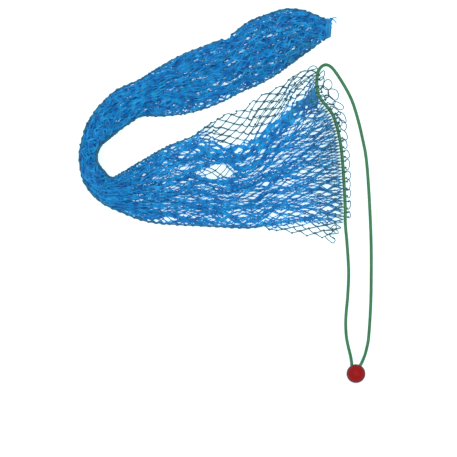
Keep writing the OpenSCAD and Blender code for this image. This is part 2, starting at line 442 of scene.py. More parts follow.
ROUTE = np.array(NEAR_POINTS + MOUTH_POINTS + FAR_POINTS) * MM
CORD_RINGS_APART = 0.72 * MM
PLAITS = 8
PLAIT_PITCH = 2.3 * MM
BRAID_DEPTH = 0.34 * MM
BRAID_SIDES = 32
KNOT_STEPS = 96
KNOT_TUBE_SIDES = 20
# Where the cord leaves the ball, and where its tails end: at the ball's slot and at the end knot
BALL_FACE = -284.0 * MM
KNOT_FACE = -291.0 * MM
# How far the ball slides, and the stretch of cord that runs up and down with it
SLIDE = frame["joints"][0]["range_m"][1]
# How far apart a tail's rings lie once the ball has slid up it
TAIL_RINGS_APART = 1.2 * MM


def braid_height(round_share, along):
    """0 in the gaps and up to 1 on the crowns of the plaits, where the two families pass over and under."""
    a = PLAITS * round_share + along / PLAIT_PITCH
    b = PLAITS * round_share - along / PLAIT_PITCH
    fa, fb = a % 1, b % 1
    over = (np.floor(a) + np.floor(b)) % 2 == 0
    across, lengthways = np.where(over, fa, fb), np.where(over, fb, fa)
    return np.sin(np.pi * across) ** 0.6 * (0.45 + 0.55 * np.sin(np.pi * lengthways))


def braided(name, line, along):
    """A braided cord along a line. along is how much cord there is up to each of its points."""
    share = np.arange(BRAID_SIDES) / BRAID_SIDES
    height = braid_height(share[None], along[:, None])
    a, b = (f[0] for f in frames(line[None]))
    angle = 2 * np.pi * share
    ring = a[:, None] * np.cos(angle)[:, None] + b[:, None] * np.sin(angle)[:, None]
    radius = CORD_R - BRAID_DEPTH * (0.75 - height[..., None])
    verts, faces, uvs = tube_arrays(line[None], CORD_R, BRAID_SIDES)
    verts = (line[:, None] + ring * radius).reshape(-1, 3)
    del uvs["OFBake"]
    mesh = build_mesh(name, verts, faces, uvs)
    add_values(mesh, "height", height)
    return mesh


cord_line = even(catmull(ROUTE, 40), CORD_RINGS_APART)
cord_line[:, 2] = np.maximum(cord_line[:, 2], CORD_R)
cord_along = lengths(cord_line)


def inverse_smooth(w):
    """Where 3t^2 - 2t^3 comes to w."""
    return 0.5 - np.sin(np.arcsin(1 - 2 * w) / 3)


def tail_line(x):
    """A tail inside the ball, its rings placed so that the braid is even once the ball has slid up it."""
    out = np.linspace(0, 1, round(SLIDE / TAIL_RINGS_APART))
    y = KNOT_FACE + (BALL_FACE - KNOT_FACE) * inverse_smooth(out)
    line = np.stack([np.full_like(y, x), y, np.full_like(y, BALL_AT[2] * MM)], axis=1)
    return line, out * SLIDE


def add_end_knot():
    """The two tails tied in one overhand knot, pulled tight into the ball's slot."""
    low, high = (np.array(corner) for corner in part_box("drawcord_end_knot"))
    centre, half = (low + high) / 2, (high - low) / 2
    a = np.arange(KNOT_STEPS) * 2 * np.pi / KNOT_STEPS
    knot = trefoil(a, 1.0)
    knot /= np.abs(knot).max(axis=0)
    thick = 0.5 * half[2]
    line = centre + knot * (half - thick)
    along = lengths(line)
    verts, faces, uvs = tube_arrays(line[None], thick, KNOT_TUBE_SIDES, closed=True)
    mesh = build_mesh("end_knot", verts, faces, uvs)
    share = np.arange(KNOT_TUBE_SIDES) / KNOT_TUBE_SIDES
    height = braid_height(share, along[:, None] * np.ones(KNOT_TUBE_SIDES))
    add_values(mesh, "height", height)
    piece = add_piece("end_knot", mesh, cord_mat)
    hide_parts("drawcord_end_knot")
    return piece


def add_drawcord():
    end_knot = add_end_knot()
    mesh = braided("drawcord", cord_line, cord_along)
    cord = add_piece("drawcord", mesh, cord_mat, body=None)
    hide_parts("drawcord_near_strand", "drawcord_mouth_run", "drawcord_far_strand")
    for side, x in (("near", NEAR_X * MM), ("far", FAR_X * MM)):
        name = f"drawcord_tail_{side}"
        mesh = braided(name, *tail_line(x))
        tail = add_piece(name, mesh, cord_mat, body=None)
        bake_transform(tail)
    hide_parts("drawcord_tails")
    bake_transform(cord)


add_drawcord()

# ---- Netting: one tube of diamond meshes, gathered flat ----
# Each row of knots goes over the top and back underneath

# Outer and inner edge of the gathered bundle, from its closed end round the bend to its mouth, in mm
OUTER_EDGE = [
    (174, 279), (158, 286), (132, 296), (102, 299), (68, 289), (38, 276), (10, 255), (-26, 241),
    (-64, 226), (-100, 206), (-134, 185), (-168, 170), (-194, 146), (-214, 118), (-225, 86), (-228, 58),
    (-224, 28), (-210, 4), (-188, -15), (-158, -29), (-124, -42), (-86, -47), (-48, -49), (-4, -51),
    (42, -53), (90, -47), (140, -44), (181, -42),
]
INNER_EDGE = [
    (174, 253), (160, 246), (140, 231), (114, 212), (88, 193), (62, 178), (34, 166), (-4, 147), (-48, 132),
    (-92, 126), (-128, 125), (-154, 110), (-178, 92), (-192, 80), (-198, 68), (-199, 58), (-196, 50),
    (-188, 40), (-176, 30), (-154, 41), (-122, 60), (-88, 78), (-44, 84), (0, 77), (44, 86), (88, 119),
    (126, 152), (142.5, 182),
]
# The bundle's height at each of those places
CROWN = [
    13, 18, 23, 26, 27, 27, 27, 26, 26, 26, 27, 28, 29, 29, 30, 30, 30, 28, 26, 24, 22, 20, 19, 18, 17, 16,
    15, 14,
]
# Free rims of the two thin flaps: (place along the edges above, x, y)
UPPER_RIM = [
    (21, -88, 79), (22, -48, 94), (22.5, -29, 108), (23, -10, 122), (23.5, 10, 132), (24, 31, 137),
    (24.25, 40, 140), (24.45, 47, 150), (24.75, 62, 160), (25.1, 77, 168), (25.6, 96, 176),
    (26.1, 115, 192), (26.6, 134, 206), (27, 147, 208),
]
LOWER_RIM = [(24.6, 72, -55), (25, 90, -56), (26, 140, -65), (26.6, 166, -68), (27, 181, -69)]
# The mouth's rim beyond the cord's run, at each end
RIM_FOOT = [(181, -69), (190, -54)]
RIM_HEAD = [(151, 203)]
FLAP_H = 5
BAND_W = 22

# Knots round the tube
ROUND = 128
# Knots across the lower flap, the thick part, the band and the upper flap, where the net flares
SHARES = [2, 41, 16.5, 4.5]
UNEVEN = [(20, 0.0), (23, 1.0), (26, 1.0), (27, 0.8)]
# The most that two rows lie apart, and where along the edges a row lies straight across
REACH = 12.75
SECTIONS = [0, 6, 12, 18, 27]
# How strongly the netting is folded, and how far its two layers stray apart, by place along the edges
FOLDED = [(0, 0.0), (2, 1.0), (17, 1.0), (21, 0.8), (25.5, 0.7), (27, 0.2)]
STRAYED = [(0, 0.3), (2, 1.0), (18, 1.0), (22, 0.9), (26, 0.9), (27, 0.5)]
FOLD_SIZE = 6.5
FOLDS = 6.3
# Where the rows start to bend towards the mouth's curve; the band and the upper flap bend later
BULGE_FROM, BULGE_DELAY = 24.4, 1.4
FLARE_AT = 21
# Cross-sections between one place along the edges and the next
STEPS = 12
# How far the last row lies behind the middle of the drawcord
RIM_GAP = 3.2
# How far the last knots but one are drawn towards the flap's rim
RIM_DRAWN = 0.55
# The gap in the middle of the flared part, crossed by a few strands
HOLE_AT, HOLE_SIZE = np.array([-8, 37]), np.array([31, 17])
HOLE_CROSSED = 0.5
# Lines of slits between the strands: from and to along the edges, share across, its spread, and how many
SLIT_LINES = [
    (1.5, 12, 0.3, 0.08, 24), (2, 13, 0.6, 0.25, 10), (12, 15.5, 0.05, 0.015, 6),
    (19, 21.8, 0.93, 0.02, 9), (17.5, 24, 0.5, 0.25, 34),
]
SLIT_LONG, SLIT_WIDE = (3.0, 6.5), (1.2, 2.2)
# Points of a bar between its knots, the least height of any point, and the steps in which the net settles
MIDS = 2
FLOOR_GAP = 0.75
TURNS = 260
# How many steps pass between pushes apart, and the most that strands in each other are pushed at once
PUSH_EVERY = 6
MOST_PUSH = 0.6
# How strongly a knot is drawn to its place: in a flap, in the thick part early on, and there later
PULL_FLAP, PULL_EARLY, PULL_LATE = 0.12, 0.05, 0.02
EARLY_SHARE = 0.6
STRAIGHTEN = 0.12
SLIT_PUSH = 0.5


def lattice_noise(x, y, seed):
    """Smooth noise between -1 and 1 over the plane, with features about 1 across."""
    size = 64
    grid = np.random.default_rng(seed).uniform(-1, 1, (size, size))
    ix, iy = np.floor(x).astype(int), np.floor(y).astype(int)
    fx, fy = x - ix, y - iy
    fx, fy = fx * fx * (3 - 2 * fx), fy * fy * (3 - 2 * fy)
    ix, iy, ix_after, iy_after = ix % size, iy % size, (ix + 1) % size, (iy + 1) % size
    before = grid[ix, iy] * (1 - fx) + grid[ix_after, iy] * fx
    after = grid[ix, iy_after] * (1 - fx) + grid[ix_after, iy_after] * fx
    return before * (1 - fy) + after * fy


def smoothstep(x):
    x = np.clip(x, 0, 1)
    return x * x * (3 - 2 * x)


def bundle_field():
    """Where each share of each cross-section lies, and how high the bundle is there, in mm."""
    outer, inner = np.array(OUTER_EDGE, float), np.array(INNER_EDGE, float)
    across = unit(inner - outer)
    outer, inner = outer + across, inner - across
    width = np.linalg.norm(inner - outer, axis=1, keepdims=True)
    band = inner - across * np.minimum(BAND_W, 0.3 * width)
    outer, band, inner = (catmull(g, STEPS) for g in (outer, band, inner))
    count = len(outer)
    t = np.arange(count) / STEPS
    low, high = outer.copy(), inner.copy()
    for edge, flap in ((low, LOWER_RIM), (high, UPPER_RIM)):
        at, *xy = zip(*flap)
        past = t >= at[0]
        for k in range(2):
            edge[past, k] = np.interp(t[past], at, xy[k])
    guides = np.stack([low, outer, band, inner, high], axis=1)
    crown = np.interp(t, np.arange(len(CROWN)), CROWN)
    share = np.linspace(0, 1, ROUND + 1)
    uneven = np.interp(t, *zip(*UNEVEN))
    planned = np.r_[0, np.cumsum(SHARES)] / sum(SHARES)
    mouth_rim = catmull(MOUTH_POINTS, 8)[:, :2]
    way = unit(np.gradient(mouth_rim, axis=0))
    mouth_rim = mouth_rim + RIM_GAP * np.stack([-way[:, 1], way[:, 0]], axis=1)
    rim = np.vstack([RIM_FOOT, mouth_rim, RIM_HEAD])
    place = np.empty((count, ROUND + 1, 2))
    height = np.empty((count, ROUND + 1))
    for i in range(count):
        true = lengths(guides[i])
        breaks = (1 - uneven[i]) * true / true[-1] + uneven[i] * planned
        breaks += np.arange(5) * 1e-6
        way = np.interp(share, breaks, true)
        place[i] = interpolated(way, true, guides[i])
        inside = np.clip((way - true[1]) / (true[3] - true[1]), 0, 1)
        height[i] = FLAP_H + (crown[i] - FLAP_H) * smoothstep(np.minimum(inside, 1 - inside) / 0.34)
    # The last cross-section's shares, taken over to the mouth's rim
    rim_way = lengths(rim)
    bulge = interpolated(way / true[-1], rim_way / rim_way[-1], rim) - place[-1]
    begun = BULGE_FROM + BULGE_DELAY * smoothstep((share - 0.55) / 0.2)
    place += smoothstep((t[:, None] - begun) / (t[-1] - begun))[..., None] ** 1.3 * bulge
    return t, place, height


bundle_t, bundle_place, bundle_height = bundle_field()


def net_rows():
    """Rows of knots, evenly apart on each line of knots: places, heights, on top, shares across and t."""
    t = np.broadcast_to(bundle_t[:, None], bundle_height.shape)
    field = np.concatenate([bundle_place, bundle_height[..., None], t[..., None]], axis=-1)
    rows = [field[:1]]
    for start, end in zip(SECTIONS, SECTIONS[1:]):
        lines = field[start * STEPS:end * STEPS + 1]
        way = np.linalg.norm(np.diff(lines[..., :2], axis=0), axis=2).cumsum(axis=0)
        way = np.vstack([np.zeros(ROUND + 1), way])
        count = math.ceil(way[-1].max() / REACH)
        at = np.arange(1, count + 1)[:, None] / count * way[-1]
        section = [interpolated(at[:, q], way[:, q], lines[:, q]) for q in range(ROUND + 1)]
        rows.append(np.stack(section, axis=1))
    rows = np.concatenate(rows)
    around = 2 * np.arange(ROUND) + (np.arange(len(rows)) % 2)[:, None]
    column = np.minimum(around, 2 * ROUND - around)
    chosen = np.take_along_axis(rows, column[..., None], axis=1)
    rimward = np.take_along_axis(rows, np.minimum(column + 1, ROUND)[..., None], axis=1)
    chosen += RIM_DRAWN * (column == ROUND - 1)[..., None] * (rimward - chosen)
    return chosen[..., :2], chosen[..., 2], around < ROUND, column / ROUND, chosen[..., 3]


def triangle_wave(x):
    return 4 * np.abs(x - np.floor(x + 0.5)) - 1


def knot_targets():
    """Where each knot would lie, in mm, folded and gathered in bunches with slits between them.

    With it come the most height it may have, and how far it is in a flap, from 0 to 1.
    """
    at, height, on_top, share, t = net_rows()
    rows = len(at)
    way = unit(np.gradient(at, axis=0))
    side = np.stack([-way[..., 1], way[..., 0]], axis=-1)
    row = np.arange(rows)[:, None] * np.ones(ROUND)
    width = np.linalg.norm(at.max(axis=1) - at.min(axis=1), axis=1)[:, None]
    v = share * width
    folded = np.interp(t, *zip(*FOLDED))
    strayed = np.interp(t, *zip(*STRAYED))
    end = np.minimum(smoothstep(row / 5), smoothstep((rows - 1 - row) / 3))
    inside = smoothstep(np.minimum(share, 1 - share) / 0.09)
    in_flap = (t > FLARE_AT) * smoothstep(FLAP_H + 1.5 - height)
    strayed *= 1 - in_flap
    folded *= 1 - in_flap
    calm = 1 - 0.3 * in_flap
    bunch = 3.0 * lattice_noise(row / 4.5, v / 9, 1)
    bunch += strayed * 2.2 * lattice_noise(row / 2.5, v / 6 + 40 * on_top, 2)
    phase = FOLDS * share + 0.8 * lattice_noise(row / 9, share * 2 + 20 * on_top, 5) + 0.4 * on_top
    bunch += FOLD_SIZE * folded * triangle_wave(phase)
    bunch += 1.5 * in_flap * lattice_noise(row / 1.1, v / 7, 8)
    drift = (1.2 + in_flap) * lattice_noise(row / 3, v / 20, 3)
    drift += strayed * 5.5 * lattice_noise(row / 12, share * 7 + 30 * on_top, 6)
    at = at + side * (bunch * end * inside * calm)[..., None] + way * (drift * end * calm)[..., None]
    pleat = 0.13 * lattice_noise(row * 1.3, share * 23 + 50 * on_top, 7)
    wave = lattice_noise(row / 3.5, v / 14 + 30 * on_top, 4)
    share_up = np.where(on_top, 0.72 + 0.2 * wave, 0.24 + 0.16 * wave) + pleat
    share_up += 0.14 * folded * triangle_wave(phase + 0.25)
    share_up += in_flap * (np.where(on_top, 0.72, 0.25) - share_up)
    z = np.clip(share_up * height, 1.0, height - 1.0)
    cap = np.maximum(height - 0.95, 2.0)
    return np.concatenate([at, z[..., None]], axis=-1), cap, in_flap


class Outline:
    """How far points lie outside the netting's outline, and which way is out, in mm."""

    CELL = 1.0

    # Room round the outline in which points can still be told how far out they lie
    ROOM = 20

    def __init__(self, place):
        rim = np.vstack([place[:, 0], place[-1], place[::-1, -1], place[0, ::-1]])
        keep = np.r_[True, np.linalg.norm(np.diff(rim, axis=0), axis=1) > 0.01]
        rim = rim[keep]
        self.low = rim.min(axis=0) - self.ROOM
        size = ((rim.max(axis=0) + self.ROOM - self.low) / self.CELL).astype(int) + 2
        x, y = (self.low[k] + np.arange(size[k]) * self.CELL for k in range(2))
        self.grid = p = np.stack(np.meshgrid(x, y, indexing="ij"), axis=-1)
        near = np.full(p.shape[:2], 1e9)
        crossings = np.zeros(p.shape[:2], int)
        for a, b in zip(rim, np.roll(rim, -1, axis=0)):
            ab = b - a
            along = np.clip(((p - a) @ ab) / max(ab @ ab, 1e-9), 0, 1)
            near = np.minimum(near, np.linalg.norm(p - a - along[..., None] * ab, axis=-1))
            if a[1] != b[1]:
                spans = (p[..., 1] >= min(a[1], b[1])) & (p[..., 1] < max(a[1], b[1]))
                crossings += spans & (p[..., 0] < a[0] + (p[..., 1] - a[1]) * ab[0] / ab[1])
        self.outside = np.where(crossings % 2 == 1, -near, near)
        self.out = np.stack(np.gradient(self.outside, self.CELL), axis=-1)

    def sample(self, field, xy):
        """What a field over the grid holds at each place."""
        u = (xy - self.low) / self.CELL
        i = np.clip(u.astype(int), 0, np.array(self.outside.shape) - 2)
        f = u - i
        i0, i1, f0, f1 = i[:, 0], i[:, 1], f[:, 0], f[:, 1]
        if field.ndim == 3:
            f0, f1 = f0[:, None], f1[:, None]
        low = field[i0, i1] * (1 - f0) + field[i0 + 1, i1] * f0
        high = field[i0, i1 + 1] * (1 - f0) + field[i0 + 1, i1 + 1] * f0
        return low * (1 - f1) + high * f1

    def slits(self, place):
        """A push away from the middle of each slit, over the same grid."""
        dice = np.random.default_rng(17)
        push = np.zeros_like(self.out)
        way = unit(np.gradient(place, axis=0))
        for start, end, middle, spread, count in SLIT_LINES:
            for _ in range(count):
                i = int(dice.uniform(start, end) * STEPS)
                q = int(np.clip(dice.normal(middle, spread), 0.03, 0.97) * ROUND)
                along = way[i, q]
                across = np.array([-along[1], along[0]])
                long, wide = dice.uniform(*SLIT_LONG), dice.uniform(*SLIT_WIDE)
                off = self.grid - place[i, q]
                u, v = off @ along / long, off @ across / wide
                depth = np.clip(1 - np.hypot(u, v), 0, 1)
                push += (depth * np.sign(v) * wide)[..., None] * across
        return push

    def keep_in(self, x):
        """Move the points that lie outside back to the outline."""
        beyond = np.maximum(self.sample(self.outside, x[:, :2]), 0)
        x[:, :2] -= self.sample(self.out, x[:, :2]) * beyond[:, None]


outline = Outline(bundle_place)


HERE = (0, 0, 0)
HALF_NEIGHBOURS = [HERE] + [step for step in itertools.product((-1, 0, 1), repeat=3) if step > HERE]


def apart(x, gap, near):
    """A push apart for points closer than gap, except for points with the same number in near."""
    cell = np.floor(x / gap).astype(np.int64)
    cell -= cell.min(axis=0)
    size = cell.max(axis=0) + 3
    key = (cell[:, 0] * size[1] + cell[:, 1]) * size[2] + cell[:, 2]
    order = np.argsort(key, kind="stable")
    sorted_key = key[order]
    push = np.zeros_like(x)
    for step in HALF_NEIGHBOURS:
        other = key + (step[0] * size[1] + step[1]) * size[2] + step[2]
        first = np.searchsorted(sorted_key, other, "left")
        last = np.searchsorted(sorted_key, other, "right")
        for k in range(3):
            has = first + k < last
            i = np.nonzero(has)[0]
            j = order[first[i] + k]
            if step == HERE:
                i, j = i[i < j], j[i < j]
            gap_now = x[j] - x[i]
            dist = np.linalg.norm(gap_now, axis=1)
            close = (dist < gap) & (near[i] != near[j])
            i, j, gap_now, dist = i[close], j[close], gap_now[close], dist[close]
            move = gap_now * (0.25 * (gap - dist) / np.maximum(dist, 1e-4))[:, None]
            for axis in range(3):
                push[:, axis] += np.bincount(j, move[:, axis], len(x))
                push[:, axis] -= np.bincount(i, move[:, axis], len(x))
    return push


def hole_push(xy):
    """A push out of the uneven gap in the flared part."""
    off = (xy - HOLE_AT) / HOLE_SIZE
    turned = np.arctan2(off[:, 1], off[:, 0])
    away = np.linalg.norm(off, axis=1) * (1 + 0.2 * np.sin(3 * turned + 1) + 0.14 * np.sin(5 * turned))
    push = 0.35 * np.clip(1.0 - away, 0, 1) / np.maximum(away, 0.15)
    return off * HOLE_SIZE * push[:, None]


def settle(target, cap, in_flap):
    """Give every bar its true length. Returns the knots, and each bar's points from knot to knot, in mm."""
    rows = len(target)
    knots = np.arange(rows * ROUND).reshape(rows, ROUND)
    starts, ends, groups = [], [], []
    for row in range(rows - 1):
        for lean in (0, 1):
            shift = lean if row % 2 else lean - 1
            starts.append(knots[row])
            ends.append(np.roll(knots[row + 1], -shift))
            groups.append(np.full(ROUND, 2 * (row % 2) + lean))
    start, end, group = (np.concatenate(part) for part in (starts, ends, groups))
    bars = len(start)
    x = target.reshape(-1, 3).copy()
    top = cap.ravel().copy()
    mids = len(x) + np.arange(bars * MIDS).reshape(bars, MIDS)
    wobble = np.random.default_rng(11).normal(0, 0.9, (bars, MIDS, 3))
    f = (np.arange(MIDS) + 1)[:, None] / (MIDS + 1)
    x = np.vstack([x, (x[start][:, None] * (1 - f) + x[end][:, None] * f + wobble).reshape(-1, 3)])
    top = np.r_[top, (top[start][:, None] * (1 - f[:, 0]) + top[end][:, None] * f[:, 0]).ravel()]
    chain = np.column_stack([start, mids, end])
    part = BAR / MM / (MIDS + 1)
    batches = [(chain[group == g, k], chain[group == g, k + 1]) for k in range(MIDS + 1) for g in range(4)]
    goal = target.reshape(-1, 3)
    held = np.r_[knots[0], knots[-1]]
    loose = len(goal)
    flat = in_flap.reshape(-1, 1) > 0.5
    flat_bar = flat[start] & flat[end]
    spare = 1.0 - np.vstack([flat, np.repeat(flat_bar, MIDS, axis=0)])
    x[mids[flat_bar[:, 0]].ravel()] -= wobble[flat_bar[:, 0]].reshape(-1, 3)
    slit_push = outline.slits(bundle_place)
    by_bar = np.random.default_rng(12).random(bars) > HOLE_CROSSED
    moved = np.r_[np.random.default_rng(13).random(loose) > HOLE_CROSSED, np.repeat(by_bar, MIDS)]
    family = np.r_[np.arange(loose), loose + np.repeat(np.arange(bars), MIDS)]
    for turn in range(TURNS):
        pull = np.where(flat, PULL_FLAP, PULL_EARLY if turn < TURNS * EARLY_SHARE else PULL_LATE)
        x[:loose] += pull * (goal - x[:loose])
        smooth = 0.5 * (x[chain[:, :-2]] + x[chain[:, 2:]]) - x[chain[:, 1:-1]]
        x[mids] += STRAIGHTEN * smooth
        if turn % PUSH_EVERY == PUSH_EVERY // 2:
            x += spare * np.clip(apart(x, 2 * TWINE_R / MM, family), -MOST_PUSH, MOST_PUSH)
        for a, b in batches:
            d = x[b] - x[a]
            length = np.linalg.norm(d, axis=1)
            fix = d * (0.5 * (length - part) / np.maximum(length, 1e-6))[:, None]
            x[a] += fix
            x[b] -= fix
        x[:, :2] += hole_push(x[:, :2]) * moved[:, None]
        x[:, :2] += SLIT_PUSH * outline.sample(slit_push, x[:, :2])
        outline.keep_in(x)
        x[:, 2] = np.clip(x[:, 2], FLOOR_GAP, top)
        x[held] = goal[held]
    return x[:loose].reshape(rows, ROUND, 3), x[chain]


net_knots, net_bars = settle(*knot_targets())

# ---- The netting's bars and knots as real twine ----

BAR_RINGS = 6
BAR_SIDES = 5
KNOT_RINGS = 10
KNOT_SIDES = 4
KNOT_SIZE = 0.85 * MM
NET_PIECES = 13
# How much painted shade strands get at the mouth and at the netting's edge, and how far in from there, in
# mm
MOUTH_SHADE, MOUTH_DEPTH = 0.85, 85.0
RIM_SHADE, RIM_DEPTH = 0.8, 3.5
# A knot gets a little more painted shade than the twine it ties
KNOT_SHADE = 0.3
# Points of twine to a square of the netting, where it counts as bare and as packed
CROWD_CELL = 5.0
BARE_BELOW = 3.0
PACKED_ABOVE = 8.0
PIECE_NODES = {
    0: ["net_closed_arm"],
    6: ["net_bend"],
    8: ["net_flared_arm"],
    10: ["net_upper_flap"],
    11: ["net_lower_flap"],
    12: ["mouth_edge"],
}


def openness(points):
    """0 where the twine is packed and 1 where a strand lies nearly alone, for each point, in mm."""
    flat = net_bars.reshape(-1, 3)[:, :2]
    low = flat.min(axis=0) - 3 * CROWD_CELL
    size = tuple(((flat.max(axis=0) - low) / CROWD_CELL + 4).astype(int))
    count = np.zeros(size)
    ij = ((flat - low) / CROWD_CELL).astype(int)
    np.add.at(count, (ij[:, 0], ij[:, 1]), 1)
    for axis in (0, 1):
        count = (np.roll(count, 1, axis) + 2 * count + np.roll(count, -1, axis)) / 4
    u = (points[:, :2] - low) / CROWD_CELL - 0.5
    i = u.astype(int)
    f = u - i
    near = sum(
        count[i[:, 0] + a, i[:, 1] + b]
        * (f[:, 0] if a else 1 - f[:, 0])
        * (f[:, 1] if b else 1 - f[:, 1])
        for a in (0, 1)
        for b in (0, 1)
    )
    return 1 - smoothstep((near - BARE_BELOW) / (PACKED_ABOVE - BARE_BELOW))


def near_mouth(points):
    """1 at the mouth's cord, falling to 0 further into the net."""
    run = catmull(MOUTH_POINTS, 3)[:, :2]
    near = np.full(len(points), 1e9)
    for at in run:
        near = np.minimum(near, np.linalg.norm(points[:, :2] - at, axis=1))
    return 1 - smoothstep(near / MOUTH_DEPTH)


def bar_paths(bars):
    """Smooth lines through each bar's points. bars is (count, points, 3)."""
    before, after = 2 * bars[:, :1] - bars[:, 1:2], 2 * bars[:, -1:] - bars[:, -2:-1]
    ends = np.concatenate([before, bars, after], axis=1)
    at = np.linspace(0, bars.shape[1] - 1, BAR_RINGS)
    i = np.minimum(at.astype(int), bars.shape[1] - 2)
    t = (at - i)[None, :, None]
    a, b, c, d = (ends[:, i + k] for k in range(4))
    return spline(a, b, c, d, t)


def knot_paths(centres, ways):
    """A closed overhand knot round each centre, turned at random about its way."""
    a = np.arange(KNOT_RINGS) * 2 * np.pi / KNOT_RINGS
    knot = trefoil(a, 0.9)
    turn = rng.uniform(0, 2 * np.pi, len(centres))[:, None, None]
    size = KNOT_SIZE * rng.uniform(0.5, 0.62, len(centres))[:, None, None]
    x, y = knot[None, :, :1], knot[None, :, 1:2]
    u = unit(ways)[:, None]
    v = unit(np.cross(ways, [0.0, 0.0, 1.0]) + [1e-6, 0, 0])[:, None]
    w = np.cross(u, v)
    across, along = x * np.cos(turn) - y * np.sin(turn), x * np.sin(turn) + y * np.cos(turn)
    return centres[:, None] + size * (1.2 * along * u + across * v + knot[None, :, 2:] * w)


def add_netting():
    """The net in pieces, cut between rows of knots: each bar a tube, each knot a closed tube of its own."""
    bars_in_row = 2 * ROUND
    cuts = np.linspace(0, len(net_knots) - 1, NET_PIECES + 1).round().astype(int)
    ways = unit(np.gradient(net_knots, axis=0))
    for k in range(NET_PIECES):
        name = f"netting_{k + 1}"
        chosen = net_bars[cuts[k] * bars_in_row:cuts[k + 1] * bars_in_row]
        # The row where a piece ends is tied in the next one. The net's first row lies inside the
        # lashing, and its last one belongs to the mouth loops, so neither has knots of its own
        first, end = cuts[k] + (k == 0), cuts[k + 1]
        tied = net_knots[first:end].reshape(-1, 3)
        tied_way = ways[first:end].reshape(-1, 3)
        cells = len(chosen) + len(tied)
        thick = TWINE_R * rng.uniform(0.86, 1.06, len(chosen))[:, None]
        tubes = tube_arrays(bar_paths(chosen) * MM, thick * np.ones(BAR_RINGS), BAR_SIDES, cells=(0, cells))
        ties = knot_paths(tied * MM, tied_way)
        ties = tube_arrays(ties, 0.9 * TWINE_R, KNOT_SIDES, closed=True, cells=(len(chosen), cells))
        verts, faces, uvs = joined([tubes, ties])
        verts[:, 2] = np.maximum(verts[:, 2], 0.02 * MM)
        mesh = build_mesh(name, verts, faces, uvs)
        # Painted shade: strands that lie alone, near the mouth and at the netting's edge, and the knots,
        # are darkened to a dull grey-blue
        varied = np.ones(len(verts))
        varied[:len(tubes[0])] = np.repeat(rng.uniform(0, 1, len(chosen)), BAR_RINGS * BAR_SIDES)
        painted_shade = np.maximum(openness(verts / MM), MOUTH_SHADE * varied * near_mouth(verts / MM))
        from_rim = outline.sample(outline.outside, verts[:, :2] / MM)
        painted_shade = np.maximum(painted_shade, RIM_SHADE * smoothstep(1 + from_rim / RIM_DEPTH))
        painted_shade[len(tubes[0]):] = KNOT_SHADE + (1 - KNOT_SHADE) * painted_shade[len(tubes[0]):]
        add_values(mesh, "painted_shade", painted_shade)
        piece = add_piece(name, mesh, netting_mat)
        if k in PIECE_NODES:
            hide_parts(*PIECE_NODES[k])


add_netting()


# ---- Mouth loops: the last meshes, which hold the cord and end in free loops beyond it ----

# How far the free loops hang out, beside each point of the mouth's run
LOOP_REACH = [
    (205, -40), (205.5, -18), (205.5, 20), (204, 57), (200, 86), (198.5, 110), (197, 128), (193, 146),
    (186, 163), (177, 178), (168, 190), (161, 199),
]
FREE_LOOPS = 15
LOOP_SIDES = 6
LOOP_STEPS = 18
# A loop is tied close beside the cord, and further out where it reaches far
TIED_NEAREST = 3.3
TIED_SLOPE, TIED_FROM = 0.66, 5.8
# Half a loop's width along the cord, and how far round from its tie each of its ends lies, by its reach
LOOP_HALF, LOOP_SQUAT = 8.4, 0.7
OPENED = [(9, 0.9), (14, 0.5), (20, 0.14)]
# Smaller loops lie between the ones that reach far, a little higher
INNER_FROM, INNER_SHARE, INNER_LIFT = 15, 0.62, 1.4
# Heights of the twine where it passes over and under the cord
OVER_CORD, UNDER_CORD = 7.9, 1.1
# How much painted shade the loops' twine gets
LOOPS_SHADE = 0.9
HEAD_LOOP = [(137, 201, 2.5), (143, 206.5, 3.5), (149.5, 206.5, 3.2), (153, 201, 1.2), (149, 195, 1.5)]
FOOT_LOOPS = [
    [(171, -63, 2.5), (177, -58, 3.2), (183, -51, 2.6), (180, -47, 1.8), (174, -52, 1.6)],
    [(165, -66, 2.0), (171, -72, 2.6), (178, -76, 2.2), (181, -71, 1.6), (176, -67, 1.4)],
]


def free_loop(at, side, out, reach, dice, lift):
    """A free loop beyond the cord: its line from one end round to the other, and whether its ends meet."""
    tied = max(TIED_NEAREST, TIED_SLOPE * reach - TIED_FROM) * dice.uniform(0.9, 1.1)
    deep = (reach - tied) / 2 * dice.uniform(0.92, 1.08)
    half = min(LOOP_HALF, LOOP_SQUAT * reach) * dice.uniform(0.85, 1.12)
    opened = np.interp(reach, *zip(*OPENED))
    angle = np.linspace(opened, 2 * np.pi - opened, LOOP_STEPS)[:, None]
    lean = dice.normal(0, 0.18)
    inward = math.cos(lean) * out + math.sin(lean) * side
    sideways = math.cos(lean) * side - math.sin(lean) * out
    uneven = 1 + 0.07 * np.sin(2 * angle + dice.uniform(0, 6))
    uneven += 0.05 * np.sin(3 * angle + dice.uniform(0, 6))
    from_middle = inward * np.cos(angle) * deep - sideways * np.sin(angle) * half
    line = at + out * (tied + deep) - from_middle * uneven
    line[:, 2] = 1.3 + lift + dice.uniform(0.2, 1.6) * np.sin(angle[:, 0] / 2) ** 2
    return line, opened < 0.3


